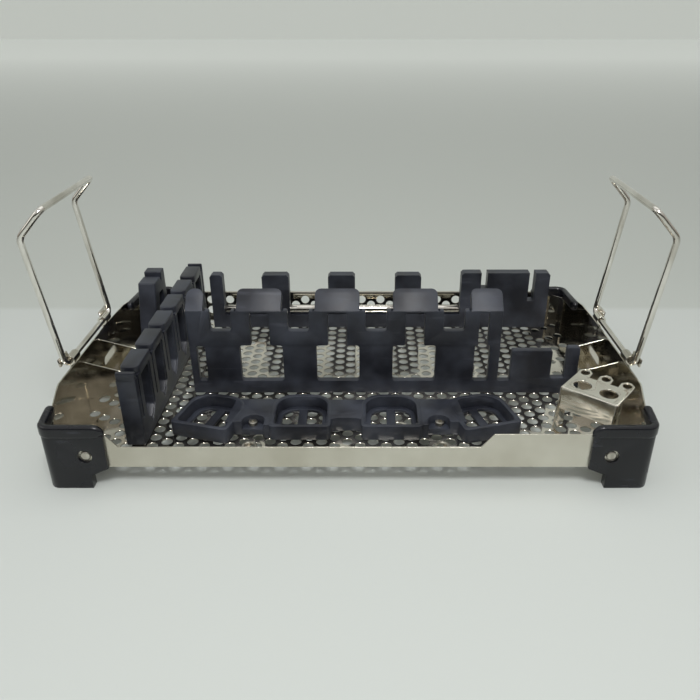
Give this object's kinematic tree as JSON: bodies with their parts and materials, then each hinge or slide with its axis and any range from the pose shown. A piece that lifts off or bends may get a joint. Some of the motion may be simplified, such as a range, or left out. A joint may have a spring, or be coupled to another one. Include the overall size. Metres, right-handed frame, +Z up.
{
  "type": "handpiece sterilization tray",
  "caption": "Perforated steel sterilization tray with plastic corner guards, wire bail handles and plastic combs, racks and pockets that hold handpieces.",
  "frame": {"origin": "on the table under the middle of the tray, at the centre of its plan box", "axes": "+X to the right as seen from the front plate, +Y from the front plate to the rear wall, +Z up"},
  "size_m": [0.5354, 0.3, 0.2112],
  "materials": {
    "sheet_steel": "polished stainless sheet, slightly warm",
    "polished_wire": "polished stainless wire",
    "fastener_steel": "satin stainless",
    "black_plastic": "machined and moulded black acetal, satin"
  },
  "bodies": {
    "tray": {"base_sheet": "sheet_steel", "front_plate": "sheet_steel", "rear_wall": "sheet_steel", "side_wall_left": "sheet_steel", "side_wall_right": "sheet_steel", "guard_front_left": "black_plastic", "guard_front_right": "black_plastic", "guard_rear_left": "black_plastic", "guard_rear_right": "black_plastic", "guard_rivets": "fastener_steel", "hinge_clips_left": "sheet_steel", "hinge_clips_right": "sheet_steel", "clip_rivets_left": "fastener_steel", "clip_rivets_right": "fastener_steel", "gusset_front_left": "sheet_steel", "gusset_front_right": "sheet_steel", "gusset_rear_left": "sheet_steel", "gusset_rear_right": "sheet_steel", "long_rack": "black_plastic", "short_rack": "black_plastic", "front_comb": "black_plastic", "rear_comb": "black_plastic", "support_rod": "polished_wire", "pocket_block": "black_plastic", "accessory_bracket": "sheet_steel", "comb_screws": "fastener_steel", "block_screws": "fastener_steel", "floor_rings": "fastener_steel"},
    "left_bail": {"handle_left": "polished_wire"},
    "right_bail": {"handle_right": "polished_wire"}
  },
  "joints": [
    {"name": "left_handle_hinge", "type": "hinge", "parent": "tray", "child": "left_bail", "pos_m": [-0.2505, -0.0075, 0.0697], "axis": [0, 1, 0], "range_deg": [0, 60]},
    {"name": "right_handle_hinge", "type": "hinge", "parent": "tray", "child": "right_bail", "pos_m": [0.2505, -0.0075, 0.0697], "axis": [0, -1, 0], "range_deg": [0, 60]}
  ]
}
